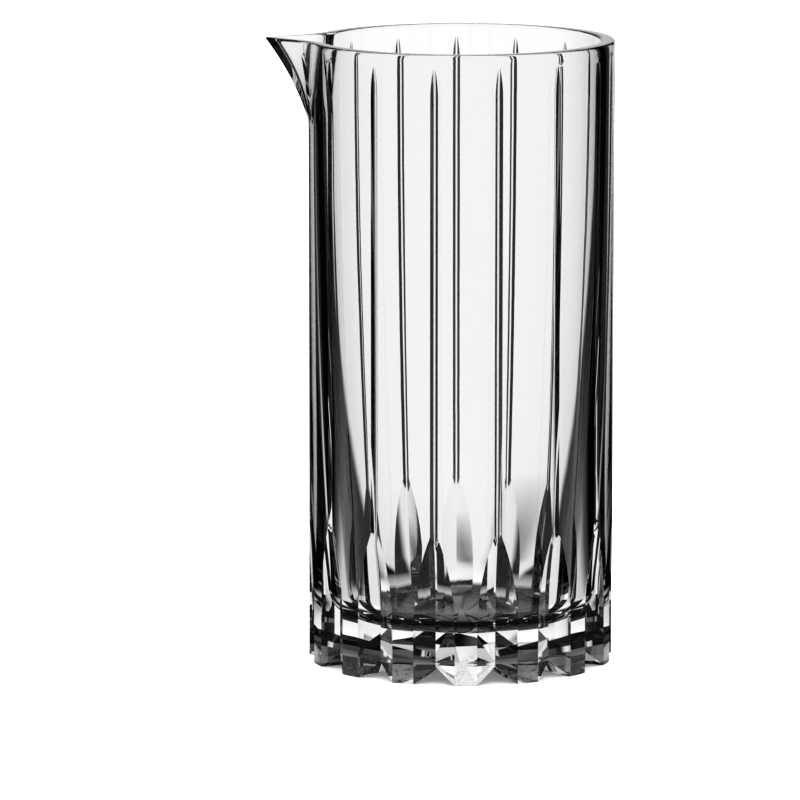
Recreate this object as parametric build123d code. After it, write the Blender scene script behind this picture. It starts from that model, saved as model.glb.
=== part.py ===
from build123d import *
import os
from math import cos, hypot, radians, sin, sqrt, tan

# A crystal mixing glass: a straight tumbler with a pouring spout, narrow flutes, wedge cuts and a
# star-cut foot. The real glass is one piece. It is written as three sections that meet face to face: the
# star-cut base, the fluted wall and the pouring spout. Millimetres, +Z up, origin on the axis at the plane
# it stands on. The spout points along -X, and the glass is symmetric about the XZ plane.

# Overall size
HEIGHT = 176.0
OUTER_R = 43.0
FLUTES = 15
PITCH = 360 / FLUTES

# Cavity: upright at the rim, then curving inwards along a long arc to a flat floor with a rounded corner
RIM_WALL = 3.9
RIM_OUTER_ROUND = 0.5
RIM_INNER_ROUND = 0.9
FLOOR_Z = 12.4
FLOOR_CORNER_R = 9.0
WALL_ARC_R = 2000.0
CAVITY_TOP_R = OUTER_R - RIM_WALL

# The base ends where the wall's arc turns into the floor's corner, with one tangent
BASE_TOP_Z = (FLOOR_Z + FLOOR_CORNER_R * (1 - HEIGHT / WALL_ARC_R)) / (1 - FLOOR_CORNER_R / WALL_ARC_R)

# Narrow flutes: V cuts with a rounded tip, which leave the wall along an arc just under the rim
FLUTE_DEPTH = 0.97
FLUTE_TIP_R = 0.5
FLUTE_FLANK_ANGLE = 48
FLUTE_TOOL_TOP = 1.0
FLUTE_LOW_Z = 35.0
FLUTE_RUNOUT_Z = 164.0
FLUTE_RUNOUT_R = 36.0
FLUTE_END_GAP = 4.0

# Wedge cuts: each flute opens into a V towards the foot, rising out of the wall along the arc of a wheel
PANEL_HALF_ANGLE = 4.2
WEDGE_HALF_ANGLE = PITCH / 2 - PANEL_HALF_ANGLE
VALLEY_R = 39.9
WEDGE_STRAIGHT_Z = 15.0
WHEEL_R = 139.0
TOOL_ARC = 14.0

# Star cut under the foot: a radial V between each two lobes, from a small flat disc in the middle
STAR_CENTRE_R = 3.0
NOTCH_Z = 4.7

# Spout: the wall pulled outwards into a beak, over the top of the glass
SPOUT_LOW_Z = 151.5
SPOUT_SLOPE = 0.254
SPOUT_CURVE = 0.0103
SPOUT_TIP_R = 1.0
SPOUT_TAPER = 1.6
SPOUT_HALF_WIDTH = 14.8
SPOUT_LOW_HALF_WIDTH = 8.0
SPOUT_SECTIONS = 6
SPOUT_SIDE_POINTS = 4
SPOUT_SECTOR_ANGLE = PITCH
SPOUT_SECTOR_Z = 148.0

# How far tools reach past a face, and how far the beak sinks into the wall, so that no two faces coincide
REACH = 3.0
SINK = 0.25


def cavity_r(z):
    """The cavity's radius at height z, above its rounded corner."""
    return CAVITY_TOP_R - WALL_ARC_R + sqrt(WALL_ARC_R**2 - (HEIGHT - z) ** 2)


def cavity_wall(low_z, high_z):
    """The cavity's wall between two heights, as an arc in the XZ plane's own axes."""
    middle_z = (low_z + high_z) / 2
    heights = (high_z, middle_z, low_z)
    return ThreePointArc(*[(cavity_r(z), z) for z in heights])


def glass_blank():
    """The plain tumbler before any cut: turned, with a rounded rim and a rounded floor corner."""
    outer_z = HEIGHT - RIM_OUTER_ROUND
    inner_z = HEIGHT - RIM_INNER_ROUND
    inner_r = cavity_r(inner_z)
    low_r = cavity_r(BASE_TOP_Z)
    floor_r = low_r - FLOOR_CORNER_R * sqrt(1 - ((HEIGHT - BASE_TOP_Z) / WALL_ARC_R) ** 2)
    with BuildSketch(Plane.XZ) as section:
        with BuildLine():
            Polyline((0, FLOOR_Z), (0, 0), (OUTER_R, 0), (OUTER_R, outer_z))
            RadiusArc((OUTER_R, outer_z), (OUTER_R - RIM_OUTER_ROUND, HEIGHT), -RIM_OUTER_ROUND)
            Line((OUTER_R - RIM_OUTER_ROUND, HEIGHT), (CAVITY_TOP_R + RIM_INNER_ROUND, HEIGHT))
            RadiusArc((CAVITY_TOP_R + RIM_INNER_ROUND, HEIGHT), (inner_r, inner_z), -RIM_INNER_ROUND)
            cavity_wall(BASE_TOP_Z, inner_z)
            RadiusArc((low_r, BASE_TOP_Z), (floor_r, FLOOR_Z), FLOOR_CORNER_R)
            Line((floor_r, FLOOR_Z), (0, FLOOR_Z))
        make_face()
    return revolve(section.sketch, Axis.Z)


def run_out(profile, radius, z):
    """The upper end of a cut: the tool's profile swung up and outwards about a tangential axis."""
    return revolve(profile, Axis((radius, 0, z), (0, 1, 0)), TOOL_ARC)


def wedge_tool():
    """The V of one valley: straight near the foot, then rising out of the wall along the wheel's arc."""
    edge_x = OUTER_R * cos(radians(WEDGE_HALF_ANGLE))
    edge_y = OUTER_R * sin(radians(WEDGE_HALF_ANGLE))
    outer_x = OUTER_R + REACH
    outer_y = (outer_x - VALLEY_R) * edge_y / (edge_x - VALLEY_R)
    profile = make_face(Polyline((VALLEY_R, 0), (outer_x, outer_y), (outer_x, -outer_y), close=True))
    straight = extrude(Plane.XY.offset(-REACH) * profile, WEDGE_STRAIGHT_Z + REACH, dir=(0, 0, 1))
    level = Plane.XY.offset(WEDGE_STRAIGHT_Z) * profile
    return straight + run_out(level, VALLEY_R + WHEEL_R, WEDGE_STRAIGHT_Z)


def flute_profile(surface):
    """The flute's section in a plane whose origin is on the wall's surface, with its X axis outwards."""
    flank = radians(FLUTE_FLANK_ANGLE)
    start_x = FLUTE_TIP_R * (1 - cos(flank)) - FLUTE_DEPTH
    start_y = FLUTE_TIP_R * sin(flank)
    top_y = start_y + (FLUTE_TOOL_TOP - start_x) / tan(flank)
    top = [(start_x, start_y), (FLUTE_TOOL_TOP, top_y), (FLUTE_TOOL_TOP, -top_y), (start_x, -start_y)]
    tip = ThreePointArc((start_x, -start_y), (-FLUTE_DEPTH, 0), (start_x, start_y))
    return surface * make_face(Polyline(*top) + tip)


def flute_tool():
    """The narrow flute: a V-edged wheel run up the wall, leaving it along an arc under the rim."""
    low = flute_profile(Plane((OUTER_R, 0, FLUTE_LOW_Z)))
    straight = extrude(low, FLUTE_RUNOUT_Z - FLUTE_LOW_Z, dir=(0, 0, 1))
    high = flute_profile(Plane((OUTER_R, 0, FLUTE_RUNOUT_Z)))
    return straight + run_out(high, OUTER_R - FLUTE_DEPTH + FLUTE_RUNOUT_R, FLUTE_RUNOUT_Z)


def star_tool():
    """One radial V under the foot, from the flat disc out to the valley between two lobes."""
    tip = Vector(STAR_CENTRE_R, 0, 0)
    grow = (OUTER_R + REACH - STAR_CENTRE_R) / (OUTER_R - STAR_CENTRE_R)
    edge_x = OUTER_R * cos(radians(WEDGE_HALF_ANGLE))
    edge_y = OUTER_R * sin(radians(WEDGE_HALF_ANGLE))
    left = tip + (Vector(edge_x, edge_y, 0) - tip) * grow
    right = tip + (Vector(edge_x, -edge_y, 0) - tip) * grow
    top = tip + (Vector(VALLEY_R, 0, NOTCH_Z) - tip) * grow
    triangles = [(tip, left, right), (tip, left, top), (tip, right, top), (left, right, top)]
    return Solid(Shell([Face(Wire.make_polygon(corners)) for corners in triangles]))


def spout_half_width(z):
    """Half the beak's width where it leaves the wall, at height z."""
    share = (z - SPOUT_LOW_Z) / (HEIGHT - SPOUT_LOW_Z)
    return SPOUT_LOW_HALF_WIDTH + share * (SPOUT_HALF_WIDTH - SPOUT_LOW_HALF_WIDTH)


def spout_pull(z, across):
    """How far the wall is pulled outwards, at height z and this far across from the spout's middle."""
    rise = z - SPOUT_LOW_Z
    reach_at_edge = hypot(spout_half_width(z), SPOUT_TIP_R) - SPOUT_TIP_R
    share = min(1.0, (hypot(across, SPOUT_TIP_R) - SPOUT_TIP_R) / reach_at_edge)
    return (SPOUT_SLOPE * rise + SPOUT_CURVE * rise**2) * (1 - share) ** SPOUT_TAPER


def beak(radius_at, high_z, root_x):
    """A lofted beak that stands on the circle radius_at(z), closed at the back by the plane x = root_x."""
    sections = []
    for level in range(SPOUT_SECTIONS):
        z = SPOUT_LOW_Z + (high_z - SPOUT_LOW_Z) * level / (SPOUT_SECTIONS - 1)
        half_width = spout_half_width(z)
        front = []
        for step in range(-SPOUT_SIDE_POINTS, SPOUT_SIDE_POINTS + 1):
            share = step / SPOUT_SIDE_POINTS
            across = half_width * share * sqrt(abs(share))
            reach = sqrt(radius_at(z) ** 2 - across**2) + spout_pull(z, across)
            front.append((SINK - reach, across, z))
        back = Polyline(front[-1], (root_x, half_width, z), (root_x, -half_width, z), front[0])
        sections.append(make_face(Spline(*front) + back))
    return loft(sections)


def spout_flute_tool(angle):
    """A flute beside the spout: it follows the wall where the wall is pulled outwards."""
    across = OUTER_R * sin(radians(angle))
    x = OUTER_R * cos(radians(angle))
    top_z = HEIGHT - FLUTE_END_GAP
    heights = (FLUTE_LOW_Z, (FLUTE_LOW_Z + SPOUT_LOW_Z) / 2, SPOUT_LOW_Z)
    points = [(x, across, z) for z in heights]
    for share, lift in ((0.35, 0), (0.6, 0), (0.85, 0), (1.0, FLUTE_DEPTH)):
        z = SPOUT_LOW_Z + share * (top_z - SPOUT_LOW_Z)
        points.append((x - spout_pull(z, across) - lift, across, z))
    path = Spline(*points)
    return sweep(flute_profile(Plane(origin=path @ 0, x_dir=(x, across, 0), z_dir=path % 0)), path)


def spout_sector():
    """The space about the spout, cut off by two upright planes through the axis and by one level plane."""
    far_x = -2 * OUTER_R
    far_y = 2 * OUTER_R * tan(radians(SPOUT_SECTOR_ANGLE))
    outline = make_face(Polyline((0, 0), (far_x, far_y), (far_x, -far_y), close=True))
    return extrude(Plane.XY.offset(SPOUT_SECTOR_Z) * outline, HEIGHT + REACH - SPOUT_SECTOR_Z, dir=(0, 0, 1))


def cavity_behind_spout():
    """The upper part of the cavity, which clears away the back of the beak."""
    top_z = HEIGHT + REACH
    low_r = cavity_r(SPOUT_SECTOR_Z)
    with BuildSketch(Plane.XZ) as section:
        with BuildLine():
            cavity_wall(SPOUT_SECTOR_Z, HEIGHT)
            Polyline((low_r, SPOUT_SECTOR_Z), (0, SPOUT_SECTOR_Z), (0, top_z), (CAVITY_TOP_R, top_z))
            Line((CAVITY_TOP_R, top_z), (CAVITY_TOP_R, HEIGHT))
        make_face()
    return spout_sector() & revolve(section.sketch, Axis.Z)


def whole_glass():
    """The finished glass as one solid."""
    glass = glass_blank() + beak(lambda z: OUTER_R, HEIGHT, -CAVITY_TOP_R - SINK)
    glass -= cavity_behind_spout()
    glass -= beak(cavity_r, HEIGHT + SINK, -OUTER_R / 2)
    wedge = wedge_tool()
    star = star_tool()
    flute = flute_tool()
    for number in range(FLUTES):
        angle = number * PITCH
        beside_spout = abs(abs(angle - 180) - PITCH / 2) < 1
        turned_flute = spout_flute_tool(angle) if beside_spout else flute.rotate(Axis.Z, angle)
        glass -= wedge.rotate(Axis.Z, angle)
        glass -= star.rotate(Axis.Z, angle)
        glass -= turned_flute
    return glass


def main():
    os.makedirs("parts", exist_ok=True)
    glass = whole_glass()
    base_space = Pos(0, 0, BASE_TOP_Z) * Box(200, 200, 100, align=(Align.CENTER, Align.CENTER, Align.MAX))
    sections = {
        "star_cut_base": glass & base_space,
        "fluted_wall": glass - base_space - spout_sector(),
        "pouring_spout": glass & spout_sector(),
    }
    for name, shape in sections.items():
        print(name, "solids", len(shape.solids()), "volume", round(shape.volume, 1), "valid", shape.is_valid)
        export_step(shape, f"parts/{name}.step")


main()
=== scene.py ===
import math

import bpy
import numpy as np
from mathutils import Matrix, Vector


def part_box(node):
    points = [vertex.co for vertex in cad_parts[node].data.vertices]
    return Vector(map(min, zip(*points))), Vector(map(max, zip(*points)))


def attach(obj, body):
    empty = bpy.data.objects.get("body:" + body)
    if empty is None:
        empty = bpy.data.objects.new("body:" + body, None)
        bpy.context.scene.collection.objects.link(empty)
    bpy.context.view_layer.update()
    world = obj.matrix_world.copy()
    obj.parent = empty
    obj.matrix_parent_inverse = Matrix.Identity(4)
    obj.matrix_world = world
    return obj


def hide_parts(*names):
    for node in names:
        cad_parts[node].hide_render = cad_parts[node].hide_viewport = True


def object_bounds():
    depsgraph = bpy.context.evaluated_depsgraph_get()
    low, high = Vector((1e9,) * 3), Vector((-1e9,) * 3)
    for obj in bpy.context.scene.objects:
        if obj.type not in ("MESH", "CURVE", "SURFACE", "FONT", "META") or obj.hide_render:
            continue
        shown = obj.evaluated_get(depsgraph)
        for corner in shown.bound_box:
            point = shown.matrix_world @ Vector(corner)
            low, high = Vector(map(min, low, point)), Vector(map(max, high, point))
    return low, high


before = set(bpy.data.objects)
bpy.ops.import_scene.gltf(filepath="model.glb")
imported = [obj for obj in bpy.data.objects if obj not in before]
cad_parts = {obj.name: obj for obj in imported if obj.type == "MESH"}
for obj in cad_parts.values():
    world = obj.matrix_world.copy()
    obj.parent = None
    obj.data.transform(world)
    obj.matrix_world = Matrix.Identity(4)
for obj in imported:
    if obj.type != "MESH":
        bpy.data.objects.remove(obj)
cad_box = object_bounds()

# Everything is in metres, in the frame's axes: +Z up from the plane the glass stands on, and the spout
# along -X.
MM = 0.001

# Overall size, from the frame
HEIGHT = cad_box[1].z
OUTER_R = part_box("fluted_wall")[1].y

# The cavity
RIM_WALL = 3.9 * MM
RIM_OUTER_ROUND = 0.5 * MM
RIM_INNER_ROUND = 0.9 * MM
FLOOR_Z = 12.4 * MM
FLOOR_CORNER_R = 9.0 * MM
WALL_ARC_R = 2000.0 * MM
CAVITY_TOP_R = OUTER_R - RIM_WALL
BASE_TOP_Z = (FLOOR_Z + FLOOR_CORNER_R * (1 - HEIGHT / WALL_ARC_R)) / (1 - FLOOR_CORNER_R / WALL_ARC_R)

# The cut pattern: fifteen flutes, one of them exactly opposite the spout
FLUTES = 15
HALF_PITCH = math.pi / FLUTES
FLUTE_DEPTH = 0.97 * MM
FLUTE_TIP_R = 0.5 * MM
FLUTE_FLANK = math.radians(48)
FLUTE_RUNOUT_Z = 164.0 * MM
FLUTE_RUNOUT_R = 36.0 * MM
FLUTE_TOP_Z = 172 * MM
WEDGE_HALF_ANGLE = math.radians(7.8)
VALLEY_R = 39.9 * MM
WEDGE_STRAIGHT_Z = 15.0 * MM
WHEEL_R = 139.0 * MM
STAR_CENTRE_R = 3.0 * MM
NOTCH_Z = 4.7 * MM
SMALLEST_EDGE = math.radians(0.25)

# A wedge cut's flank, and the star cut's rise along its valley and fall to each side
WEDGE_EDGE_X = OUTER_R * math.cos(WEDGE_HALF_ANGLE)
WEDGE_EDGE_Y = OUTER_R * math.sin(WEDGE_HALF_ANGLE)
WEDGE_SLOPE = (WEDGE_EDGE_X - VALLEY_R) / WEDGE_EDGE_Y
STAR_RISE = NOTCH_Z / (VALLEY_R - STAR_CENTRE_R)
STAR_SIDE = STAR_RISE * (WEDGE_EDGE_X - STAR_CENTRE_R) / WEDGE_EDGE_Y

# The spout
SPOUT_LOW_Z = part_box("pouring_spout")[0].z + 3.5 * MM
SPOUT_SLOPE = 0.254
SPOUT_CURVE = 0.0103 / MM
SPOUT_TIP_R = 1.0 * MM
SPOUT_TAPER = 1.6
SPOUT_HALF_WIDTH = 14.8 * MM
SPOUT_LOW_HALF_WIDTH = 8.0 * MM

# How finely the surface is divided. A column's place runs from 0 in a flute's valley, through the cut's
# edge, to 1 in the middle of the panel between two flutes, where the columns bunch a little.
CUT_COLUMNS = 8
PANEL_COLUMNS = 8
SPOUT_COLUMNS = 22
EDGE_PLACE = 0.5
PANEL_BUNCHING = 1.3
TINY_ANGLE = 0.01
EVEN_EDGE = HALF_PITCH / 2
UNDERSIDE_START = 0.04
UNDERSIDE_RINGS = 49
FOOT_TOP_Z = 12 * MM
OUTER_STRETCHES_MM = [(1, 45, 45), (50, 150, 21), (151, 165, 15), (165.5, 172, 14)]
OUTER_LAST_Z = 172.5 * MM
OUTER_LAST_RINGS = 5
RIM_OUTER_STEPS = 7
RIM_INNER_STEPS = 11
INNER_SPOUT_LOW_MM = 151
INNER_WALL_TOP_MM = 146
INNER_RINGS = 24
CORNER_STEPS = 25
FLOOR_SHARES = (0.8, 0.6, 0.4, 0.2, 0.05)
SHARP_ANGLE = math.radians(18)


def columns():
    """Each column's flute angle, its side of the flute, and its place from valley to panel."""
    flute_angle, side, place = [], [], []
    for flute in range(FLUTES):
        angle = 2 * HALF_PITCH * flute
        for sign in (-1, 1):
            towards_spout = abs(angle + sign * HALF_PITCH - math.pi) < TINY_ANGLE
            panel = SPOUT_COLUMNS if towards_spout else PANEL_COLUMNS
            places = [EDGE_PLACE * k / CUT_COLUMNS for k in range(1, CUT_COLUMNS + 1)]
            for k in range(1, panel + 1):
                places.append(EDGE_PLACE + (1 - EDGE_PLACE) * (1 - (1 - k / panel) ** PANEL_BUNCHING))
            if sign < 0:
                places = places[:-1][::-1] + [0.0]
            flute_angle += [angle] * len(places)
            side += [sign] * len(places)
            place += places
    return np.array(flute_angle), np.array(side), np.array(place)


FLUTE_ANGLE, SIDE, PLACE = columns()


def spread(edge):
    """Each column's angle from its flute's valley, when the cut's edge is this far from the valley."""
    inside = edge * PLACE / EDGE_PLACE
    outside = edge + (HALF_PITCH - edge) * (PLACE - EDGE_PLACE) / (1 - EDGE_PLACE)
    return np.where(PLACE <= EDGE_PLACE, inside, outside)


def cavity_r(z):
    """The cavity's radius: upright at the rim, and curving inwards along a long arc below it."""
    return CAVITY_TOP_R - WALL_ARC_R + math.sqrt(WALL_ARC_R**2 - (HEIGHT - z) ** 2)


def flute_valley(z):
    """The flute's valley radius: constant on the straight wall, then along an arc where it runs out."""
    past = min(FLUTE_RUNOUT_R, max(0.0, z - FLUTE_RUNOUT_Z))
    return OUTER_R - FLUTE_DEPTH + FLUTE_RUNOUT_R - math.sqrt(FLUTE_RUNOUT_R**2 - past**2)


def wedge_valley(z):
    """The wedge cut's valley radius: constant near the foot, then along the wheel's arc."""
    past = min(WHEEL_R, max(0.0, z - WEDGE_STRAIGHT_Z))
    return VALLEY_R + WHEEL_R - math.sqrt(WHEEL_R**2 - past**2)


def plane_edge(valley, slope):
    """The angle at which a flat flank that starts at this valley radius meets the round wall."""
    return math.acos(min(1.0, valley / (OUTER_R * math.hypot(1, slope)))) - math.atan(slope)


def flute_tip(z):
    """The flute's rounded tip: its centre's radius, and the angle at which its flank starts."""
    centre = flute_valley(z) + FLUTE_TIP_R
    along = centre - FLUTE_TIP_R * math.cos(FLUTE_FLANK)
    return centre, math.atan(FLUTE_TIP_R * math.sin(FLUTE_FLANK) / along)


def flute_edge(z):
    """The angle from the valley at which the flute meets the round wall."""
    centre, flank_start = flute_tip(z)
    edge = plane_edge(centre - FLUTE_TIP_R / math.cos(FLUTE_FLANK), math.tan(FLUTE_FLANK))
    if edge > flank_start:
        return edge
    return math.acos(min(1.0, (OUTER_R**2 + centre**2 - FLUTE_TIP_R**2) / (2 * OUTER_R * centre)))


def cut_edge(z):
    """The angle from the valley at which the cut meets the round wall, at this height."""
    return max(flute_edge(z), plane_edge(wedge_valley(z), WEDGE_SLOPE), SMALLEST_EDGE)


def wall_radius(angle, z):
    """The outer surface's distance from the axis, at this angle from the nearest valley."""
    centre, flank_start = flute_tip(z)
    tip = centre * np.cos(angle) - np.sqrt(np.maximum(FLUTE_TIP_R**2 - (centre * np.sin(angle)) ** 2, 0))
    flank_valley = centre - FLUTE_TIP_R / math.cos(FLUTE_FLANK)
    flank = flank_valley / (np.cos(angle) - math.tan(FLUTE_FLANK) * np.sin(angle))
    radius = np.minimum(OUTER_R, np.where(angle < flank_start, tip, flank))
    wedge = wedge_valley(z) / (np.cos(angle) - WEDGE_SLOPE * np.sin(angle))
    return np.minimum(radius, wedge)


def underside_z(radius, angle):
    """The star-cut underside's height."""
    along = radius * np.cos(angle)
    across = radius * np.sin(angle)
    return np.maximum(0, STAR_RISE * (along - STAR_CENTRE_R) - STAR_SIDE * across)


def star_edge(radius):
    """The angle from the valley at which the star's cut meets the flat underside, at this radius."""
    slope = STAR_RISE / STAR_SIDE
    if radius <= STAR_CENTRE_R:
        return SMALLEST_EDGE
    offset = slope * STAR_CENTRE_R / (radius * math.hypot(1, slope))
    return max(SMALLEST_EDGE, math.atan(slope) - math.asin(offset))


def spout_pull(z, y):
    """How far the wall is pulled towards -X to form the spout, at this height and this far across."""
    rise = np.maximum(0, z - SPOUT_LOW_Z)
    share = rise / (HEIGHT - SPOUT_LOW_Z)
    half_width = SPOUT_LOW_HALF_WIDTH + share * (SPOUT_HALF_WIDTH - SPOUT_LOW_HALF_WIDTH)
    at_edge = np.hypot(half_width, SPOUT_TIP_R) - SPOUT_TIP_R
    inwards = np.minimum(1, (np.hypot(y, SPOUT_TIP_R) - SPOUT_TIP_R) / at_edge)
    return (SPOUT_SLOPE * rise + SPOUT_CURVE * rise**2) * (1 - inwards) ** SPOUT_TAPER


def ring(radius, angle, z, pulled=False):
    """One closed ring of points round the axis, with or without the spout's pull."""
    turn = FLUTE_ANGLE + SIDE * angle
    x = radius * np.cos(turn)
    y = radius * np.sin(turn)
    z = np.broadcast_to(z, x.shape)
    if pulled:
        x = x - np.where(x < 0, spout_pull(z, y), 0)
    return np.stack([x, y, z], axis=1)


def underside_rings():
    """The star-cut underside, from near its middle out to the foot's edge."""
    rings = []
    for share in np.linspace(UNDERSIDE_START, 1, UNDERSIDE_RINGS):
        angle = spread(star_edge(share * OUTER_R))
        radius = share * wall_radius(angle, 0.0)
        rings.append(ring(radius, angle, underside_z(radius, angle)))
    return rings


def outer_rings():
    """The outer wall, from just above the foot's edge to the start of the rim's rounding."""
    rings = []
    foot_angle = spread(cut_edge(0.0))
    foot_z = underside_z(wall_radius(foot_angle, 0.0), foot_angle)
    rim_z = HEIGHT - RIM_OUTER_ROUND
    heights = []
    for low, high, count in OUTER_STRETCHES_MM:
        heights += list(np.linspace(low, high, count) * MM)
    heights += list(np.linspace(OUTER_LAST_Z, rim_z, OUTER_LAST_RINGS))
    for height in heights:
        ease = min(1.0, max(0.0, (height - FLUTE_TOP_Z) / (rim_z - FLUTE_TOP_Z)))
        edge = cut_edge(height) * (1 - ease) + EVEN_EDGE * ease
        angle = spread(edge)
        settle = max(0.0, 1 - height / FOOT_TOP_Z)
        z = height + foot_z * settle
        rings.append(ring(wall_radius(angle, height), angle, z, True))
    return rings


def rim_rings():
    """The rim: a small rounding outside, a narrow flat top, and a larger rounding inside."""
    rings = []
    angle = spread(EVEN_EDGE)
    for turn in np.linspace(0, math.pi / 2, RIM_OUTER_STEPS)[1:]:
        radius = OUTER_R - RIM_OUTER_ROUND + RIM_OUTER_ROUND * math.cos(turn)
        z = HEIGHT - RIM_OUTER_ROUND + RIM_OUTER_ROUND * math.sin(turn)
        rings.append(ring(radius, angle, z, True))
    for turn in np.linspace(math.pi / 2, 0, RIM_INNER_STEPS):
        radius = CAVITY_TOP_R + RIM_INNER_ROUND - RIM_INNER_ROUND * math.cos(turn)
        z = HEIGHT - RIM_INNER_ROUND + RIM_INNER_ROUND * math.sin(turn)
        rings.append(ring(radius, angle, z, True))
    return rings


def inner_rings():
    """The cavity, from just under the rim down the wall and round the corner to the middle of the floor."""
    rings = []
    angle = spread(EVEN_EDGE)
    below_rim_mm = (HEIGHT - RIM_INNER_ROUND) / MM - 1
    heights = list(np.linspace(below_rim_mm, INNER_SPOUT_LOW_MM, INNER_RINGS) * MM)
    heights += list(np.linspace(INNER_WALL_TOP_MM, BASE_TOP_Z / MM, INNER_RINGS) * MM)
    for height in heights:
        rings.append(ring(cavity_r(height), angle, height, True))
    lean = math.asin((HEIGHT - BASE_TOP_Z) / WALL_ARC_R)
    floor_r = cavity_r(BASE_TOP_Z) - FLOOR_CORNER_R * math.cos(lean)
    for turn in np.linspace(lean, math.pi / 2, CORNER_STEPS)[1:]:
        radius = floor_r + FLOOR_CORNER_R * math.cos(turn)
        z = FLOOR_Z + FLOOR_CORNER_R * (1 - math.sin(turn))
        rings.append(ring(radius, angle, z))
    for share in FLOOR_SHARES:
        rings.append(ring(share * floor_r, angle, FLOOR_Z))
    return rings


def glass_mesh():
    """The whole glass as one closed surface, from the underside's middle round to the floor's middle."""
    rings = underside_rings() + outer_rings() + rim_rings() + inner_rings()
    width = len(PLACE)
    points = np.concatenate(rings + [np.array([[0, 0, 0], [0, 0, FLOOR_Z]])])
    low_centre = len(rings) * width
    high_centre = low_centre + 1
    faces = []
    for level in range(len(rings) - 1):
        for column in range(width):
            after = (column + 1) % width
            low, high = level * width, (level + 1) * width
            faces.append((low + column, low + after, high + after, high + column))
    last = (len(rings) - 1) * width
    for column in range(width):
        after = (column + 1) % width
        faces.append((low_centre, after, column))
        faces.append((high_centre, last + column, last + after))
    mesh = bpy.data.meshes.new("crystal_glass")
    mesh.from_pydata(points.tolist(), [], faces)
    mesh.validate()
    mesh.shade_smooth()
    mesh.set_sharp_from_angle(angle=SHARP_ANGLE)
    return mesh


def link_math(tree, operation, *inputs):
    """A Math node on these sockets or numbers."""
    node = tree.nodes.new("ShaderNodeMath")
    node.operation = operation
    for socket, value in zip(node.inputs, inputs):
        if isinstance(value, (int, float)):
            socket.default_value = value
        else:
            tree.links.new(value, socket)
    return node.outputs[0]


def link_ramp(tree, value, stops):
    """A smooth brightness that follows these (value, brightness) stops."""
    reach = stops[-1][0]
    node = tree.nodes.new("ShaderNodeValToRGB")
    ramp = node.color_ramp
    while len(ramp.elements) < len(stops):
        ramp.elements.new(0.5)
    for element, (place, brightness) in zip(ramp.elements, stops):
        element.position = place / reach
        element.color = (brightness, brightness, brightness, 1)
    tree.links.new(link_math(tree, "DIVIDE", value, reach), node.inputs["Fac"])
    return node.outputs["Color"]


def link_place(tree):
    """A point's place in its object's own axes: the whole vector, and its X, Y and Z."""
    place = tree.nodes.new("ShaderNodeTexCoord").outputs["Object"]
    parts = tree.nodes.new("ShaderNodeSeparateXYZ")
    tree.links.new(place, parts.inputs[0])
    return place, parts.outputs


def link_noise(tree, place, scale, detail):
    """A Noise Texture node on this place."""
    node = tree.nodes.new("ShaderNodeTexNoise")
    node.inputs["Scale"].default_value = scale
    node.inputs["Detail"].default_value = detail
    tree.links.new(place, node.inputs["Vector"])
    return node.outputs["Fac"]


# The crystal: how wavy its polish is, and how scuffed the faces are that it stands on
CRYSTAL_IOR = 1.52
WAVE_SCALE = 110
WAVE_DETAIL = 1
WAVE_HEIGHT = 0.006 * MM
SCUFF_SCALE = 900
SCUFF_DETAIL = 4
SCUFF_BY_NOISE = [(0, 0.0), (0.5, 0.1), (0.62, 1.0), (1.0, 1.0)]
SCUFF_ROUGHNESS = 0.35
SCUFF_TOP = 0.25 * MM


def crystal_material():
    """Clear polished crystal: faintly wavy everywhere, with fine scuffs on the faces that it stands on."""
    material = bpy.data.materials.new("clear_crystal")
    material.use_nodes = True
    tree = material.node_tree
    shader = tree.nodes["Principled BSDF"]
    shader.inputs["Base Color"].default_value = (1, 1, 1, 1)
    shader.inputs["Transmission Weight"].default_value = 1.0
    shader.inputs["IOR"].default_value = CRYSTAL_IOR
    place, parts = link_place(tree)
    bump = tree.nodes.new("ShaderNodeBump")
    bump.inputs["Distance"].default_value = WAVE_HEIGHT
    tree.links.new(link_noise(tree, place, WAVE_SCALE, WAVE_DETAIL), bump.inputs["Height"])
    tree.links.new(bump.outputs["Normal"], shader.inputs["Normal"])
    resting = link_math(tree, "LESS_THAN", parts["Z"], SCUFF_TOP)
    scuffs = link_ramp(tree, link_noise(tree, place, SCUFF_SCALE, SCUFF_DETAIL), SCUFF_BY_NOISE)
    worn = link_math(tree, "MULTIPLY", link_math(tree, "MULTIPLY", scuffs, resting), SCUFF_ROUGHNESS)
    tree.links.new(worn, shader.inputs["Roughness"])
    return material


def add_glass():
    """The glass: one mesh for the three sections of the frame, which are one fused piece."""
    glass = bpy.data.objects.new("crystal_glass", glass_mesh())
    bpy.context.scene.collection.objects.link(glass)
    glass.data.materials.append(crystal_material())
    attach(glass, "root")
    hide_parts("star_cut_base", "fluted_wall", "pouring_spout")


# The camera: a long lens a little above the rim, turned so that the spout points just behind the left
CAMERA_TURN = math.radians(4.0)
CAMERA_DISTANCE = 1.714
CAMERA_HEIGHT = 0.363
CAMERA_TILT = math.radians(9.592)
CAMERA_YAW = math.radians(0.576)
FOCAL_IN_FRAMES = 6145 / 800
SENSOR_WIDTH_MM = 36
FAR_CLIP = 100


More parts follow.
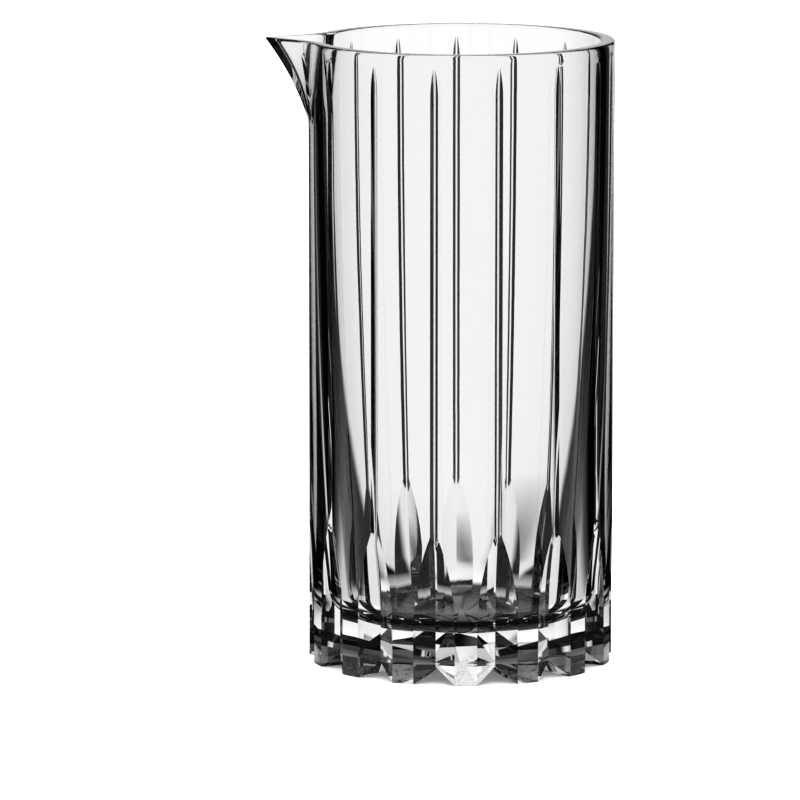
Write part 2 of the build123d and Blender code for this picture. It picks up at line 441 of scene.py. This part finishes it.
def add_camera():
    """The scene's camera."""
    data = bpy.data.cameras.new("camera")
    data.sensor_width = SENSOR_WIDTH_MM
    data.lens = SENSOR_WIDTH_MM * FOCAL_IN_FRAMES
    data.clip_end = FAR_CLIP
    camera = bpy.data.objects.new("camera", data)
    bpy.context.scene.collection.objects.link(camera)
    turn = Matrix.Rotation(CAMERA_TURN, 4, "Z")
    place = turn @ Matrix.Translation((0, -CAMERA_DISTANCE, CAMERA_HEIGHT))
    aim = Matrix.Rotation(CAMERA_YAW, 4, "Z") @ Matrix.Rotation(math.pi / 2 - CAMERA_TILT, 4, "X")
    camera.matrix_world = place @ aim
    bpy.context.scene.camera = camera


# The floor that the camera sees, and the light on it
FLOOR_SIZE = 60.0
FLOOR_DROP = 0.05 * MM
FLOOR_COLOUR = (0.9, 0.9, 0.9)
FLOOR_GLOW = 0.1
MATT_ROUGHNESS = 0.9
SOFTBOX_SIZE = 3.0
SOFTBOX_HEIGHT = 3.0
SOFTBOX_POWER = 40
WORLD_STRENGTH = 1.0

# What the glass shows: one card on the floor and one as a dome, which the camera doesn't see. Each list
# gives brightnesses. BY_ANGLE is by the degrees from the direction behind the glass, where a bright card has
# dark flags on both sides. FLOOR_BY_DISTANCE is by the distance from the glass's axis in mm, DOME_BY_HEIGHT
# by the sine of the elevation, and the last two by how many surfaces the light has met.
CARD_DROP = 0.02 * MM
SURROUND_RADIUS = 4.0
SURROUND_STEPS = 64
SURROUND_LEVELS = 12
BY_ANGLE = [
    (0, 0.72), (8, 0.71), (14, 0.69), (22.5, 0.63), (25, 0.001),
    (58, 0.001), (66, 0.1), (75, 0.5), (90, 0.62), (180, 0.68),
]
FLOOR_BY_DISTANCE = [
    (0, 0.25), (22, 0.06), (30, 0.005), (42, 0.02), (46, 1.0),
    (60, 1.0), (90, 0.96), (150, 0.98), (200, 1.0),
]
DOME_BY_HEIGHT = [(0, 1.0), (0.2, 1.0), (0.3, 0.5), (0.5, 0.5), (0.65, 0.35), (0.75, 0.15), (1.0, 0.12)]
FLOOR_BY_BOUNCES = [(0, 1.0), (4, 1.0), (5, 0.3), (6, 0.1), (8, 0.05)]
DOME_BY_BOUNCES = [(0, 1.0), (4, 1.0), (5, 0.4), (6, 0.12), (12, 0.05)]

# The flags' reach: they start at the first value and are full at the second
FLOOR_FLAGS = (30 * MM, 60 * MM)
DOME_FLAGS = (0.42, 0.2)

# The glass's soft shadow on the floor card: its direction, and its strength across it in degrees and along it
# in mm
SHADOW_ANGLE = 12.5
SHADOW_ACROSS = [(0, 1.0), (3, 0.8), (7, 0.0), (8, 0.0)]
SHADOW_ALONG = [(0, 0.0), (60, 0.0), (80, 0.75), (130, 0.65), (210, 0.0), (220, 0.0)]

# The dark room that the glass mirrors
ROOM_OPENING = math.radians(20)
ROOM_CLEARANCE = 52 * MM
ROOM_RADIUS = 1.0
ROOM_LOW_Z = MM
ROOM_HEIGHT = 1.0
ROOM_STEPS = 40
ROOM_COLOUR = (0.004, 0.004, 0.004)


def matt_material(name, colour):
    """A plain matt material for the staging."""
    material = bpy.data.materials.new(name)
    material.use_nodes = True
    shader = material.node_tree.nodes["Principled BSDF"]
    shader.inputs["Base Color"].default_value = (*colour, 1)
    shader.inputs["Roughness"].default_value = MATT_ROUGHNESS
    shader.inputs["Specular IOR Level"].default_value = 0.0
    return material


def add_floor():
    """The plain pale floor, which glows slightly."""
    half = FLOOR_SIZE / 2
    mesh = bpy.data.meshes.new("floor")
    corners = [(-half, -half, 0), (half, -half, 0), (half, half, 0), (-half, half, 0)]
    mesh.from_pydata(corners, [], [(0, 1, 2, 3)])
    floor = bpy.data.objects.new("floor", mesh)
    floor.location.z = -FLOOR_DROP
    bpy.context.scene.collection.objects.link(floor)
    material = matt_material("pale_floor", FLOOR_COLOUR)
    shader = material.node_tree.nodes["Principled BSDF"]
    shader.inputs["Emission Color"].default_value = (1, 1, 1, 1)
    shader.inputs["Emission Strength"].default_value = FLOOR_GLOW
    floor.data.materials.append(material)


def stage_card(name, points, faces, material):
    """A card that the camera and the floor's light don't see: only the glass shows it."""
    mesh = bpy.data.meshes.new(name)
    mesh.from_pydata([tuple(point) for point in points], [], faces)
    card = bpy.data.objects.new(name, mesh)
    bpy.context.scene.collection.objects.link(card)
    card.data.materials.append(material)
    card.rotation_euler.z = CAMERA_TURN
    card.visible_camera = False
    card.visible_diffuse = False
    card.visible_shadow = False
    return card


def link_flags(tree, by_angle, value, reach):
    """The brightness by angle, blended in from 1.0 as this value goes along the flags' reach."""
    flags = tree.nodes.new("ShaderNodeMapRange")
    tree.links.new(value, flags.inputs["Value"])
    flags.inputs["From Min"].default_value, flags.inputs["From Max"].default_value = reach
    less = link_math(tree, "SUBTRACT", by_angle, 1.0)
    return link_math(tree, "MULTIPLY_ADD", less, flags.outputs["Result"], 1.0)


def link_shadow(tree, turn, distance):
    """What the glass's soft shadow leaves of the floor card's brightness."""
    aside = link_math(tree, "ABSOLUTE", link_math(tree, "SUBTRACT", turn, SHADOW_ANGLE))
    across = link_ramp(tree, aside, SHADOW_ACROSS)
    along = link_ramp(tree, distance, SHADOW_ALONG)
    return link_math(tree, "SUBTRACT", 1.0, link_math(tree, "MULTIPLY", across, along))


def surround_material(name, on_floor):
    """A glowing card whose brightness depends on its place round the glass and on the light's bounces."""
    material = bpy.data.materials.new(name)
    material.use_nodes = True
    tree = material.node_tree
    tree.nodes.clear()
    place, parts = link_place(tree)
    turn = link_math(tree, "DEGREES", link_math(tree, "ARCTAN2", parts["X"], parts["Y"]))
    by_angle = link_ramp(tree, link_math(tree, "ABSOLUTE", turn), BY_ANGLE)
    length = tree.nodes.new("ShaderNodeVectorMath")
    length.operation = "LENGTH"
    tree.links.new(place, length.inputs[0])
    radius = length.outputs["Value"]
    bounces = tree.nodes.new("ShaderNodeLightPath").outputs["Ray Depth"]
    if on_floor:
        by_angle = link_flags(tree, by_angle, radius, FLOOR_FLAGS)
        distance = link_math(tree, "DIVIDE", radius, MM)
        by_distance = link_ramp(tree, distance, FLOOR_BY_DISTANCE)
        by_place = link_math(tree, "MULTIPLY", by_distance, link_shadow(tree, turn, distance))
        by_bounces = link_ramp(tree, bounces, FLOOR_BY_BOUNCES)
    else:
        sine = link_math(tree, "DIVIDE", parts["Z"], radius)
        by_angle = link_flags(tree, by_angle, sine, DOME_FLAGS)
        by_place = link_ramp(tree, sine, DOME_BY_HEIGHT)
        by_bounces = link_ramp(tree, bounces, DOME_BY_BOUNCES)
    brightness = link_math(tree, "MULTIPLY", by_angle, by_place)
    emission = tree.nodes.new("ShaderNodeEmission")
    tree.links.new(link_math(tree, "MULTIPLY", brightness, by_bounces), emission.inputs["Strength"])
    output = tree.nodes.new("ShaderNodeOutputMaterial")
    tree.links.new(emission.outputs[0], output.inputs["Surface"])
    return material


def circle_points(radius, z):
    """Evenly spaced points on one level circle of the surround."""
    angles = [2 * math.pi * k / SURROUND_STEPS for k in range(SURROUND_STEPS)]
    return [(radius * math.cos(angle), radius * math.sin(angle), z) for angle in angles]


def add_surround():
    """The floor card and the dome."""
    disc = [tuple(range(SURROUND_STEPS))]
    floor_points = circle_points(SURROUND_RADIUS, -CARD_DROP)
    stage_card("floor_card", floor_points, disc, surround_material("floor_card", True))
    points = []
    for level in range(SURROUND_LEVELS):
        rise = math.pi / 2 * level / SURROUND_LEVELS
        points += circle_points(SURROUND_RADIUS * math.cos(rise), SURROUND_RADIUS * math.sin(rise))
    points.append((0, 0, SURROUND_RADIUS))
    faces = []
    for level in range(SURROUND_LEVELS):
        for k in range(SURROUND_STEPS):
            low = level * SURROUND_STEPS + k
            after = level * SURROUND_STEPS + (k + 1) % SURROUND_STEPS
            if level == SURROUND_LEVELS - 1:
                faces.append((low, after, len(points) - 1))
            else:
                faces.append((low, after, after + SURROUND_STEPS, low + SURROUND_STEPS))
    stage_card("dome", points, faces, surround_material("dome", False))


def add_dark_room():
    """The dark room that the glass mirrors: open behind the glass, as seen from the camera."""
    points = []
    for k in range(ROOM_STEPS + 1):
        angle = math.pi / 2 + ROOM_OPENING + 2 * (math.pi - ROOM_OPENING) * k / ROOM_STEPS
        direction = Vector((math.cos(angle), math.sin(angle), 0))
        points.append(direction * ROOM_CLEARANCE + Vector((0, 0, ROOM_LOW_Z)))
        points.append(direction * ROOM_RADIUS + Vector((0, 0, ROOM_LOW_Z)))
        points.append(direction * ROOM_RADIUS + Vector((0, 0, ROOM_HEIGHT)))
    faces = []
    for k in range(ROOM_STEPS):
        faces.append((3 * k, 3 * k + 1, 3 * k + 4, 3 * k + 3))
        faces.append((3 * k + 1, 3 * k + 2, 3 * k + 5, 3 * k + 4))
    room = stage_card("dark_room", points, faces, matt_material("dark_room", ROOM_COLOUR))
    room.visible_transmission = False


def add_overhead_light():
    """A wide softbox over the glass. It lights the floor, and the glass doesn't mirror it."""
    data = bpy.data.lights.new("softbox", "AREA")
    data.shape = "DISK"
    data.size = SOFTBOX_SIZE
    data.energy = SOFTBOX_POWER
    light = bpy.data.objects.new("softbox", data)
    light.location.z = SOFTBOX_HEIGHT
    light.visible_glossy = False
    light.visible_transmission = False
    bpy.context.scene.collection.objects.link(light)


def add_world():
    """The plain white room that lights the floor."""
    world = bpy.data.worlds.new("studio")
    world.use_nodes = True
    background = world.node_tree.nodes["Background"]
    background.inputs["Color"].default_value = (1, 1, 1, 1)
    background.inputs["Strength"].default_value = WORLD_STRENGTH
    bpy.context.scene.world = world


# How the picture is finished, and how far light is followed inside the glass
LOOK = "High Contrast"
GLASS_BOUNCES = 48
MIRROR_BOUNCES = 24


def set_up_view():
    """The view transform and the light's bounces."""
    scene = bpy.context.scene
    scene.view_settings.view_transform = "Standard"
    scene.view_settings.look = LOOK
    scene.cycles.max_bounces = GLASS_BOUNCES
    scene.cycles.transmission_bounces = GLASS_BOUNCES
    scene.cycles.glossy_bounces = MIRROR_BOUNCES


add_glass()
add_camera()
add_floor()
add_surround()
add_dark_room()
add_overhead_light()
add_world()
set_up_view()
